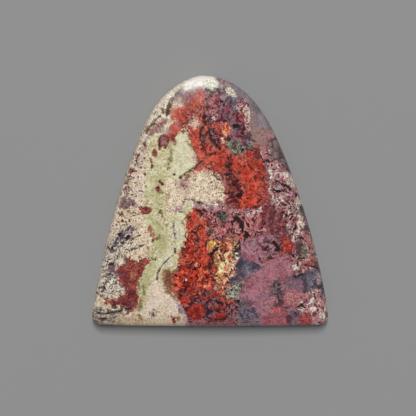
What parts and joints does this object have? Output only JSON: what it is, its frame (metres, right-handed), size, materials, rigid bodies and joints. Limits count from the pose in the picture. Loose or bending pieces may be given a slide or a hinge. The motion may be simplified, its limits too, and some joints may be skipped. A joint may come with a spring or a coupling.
{
  "type": "red moss agate cabochon",
  "caption": "Polished moss agate cabochon, a lopsided arch with a flat back and a low dome, for setting in a bezel or on a pad.",
  "frame": {"origin": "middle of the flat back, on the surface that the stone lies on", "axes": "+Z out of the domed face, +Y towards the tip of the arch, +X to the right as the face is looked at"},
  "size_m": [0.0426, 0.045, 0.0065],
  "materials": {
    "polished_agate": "polished"
  },
  "bodies": {
    "root": {"cabochon": "polished_agate"}
  },
  "joints": []
}
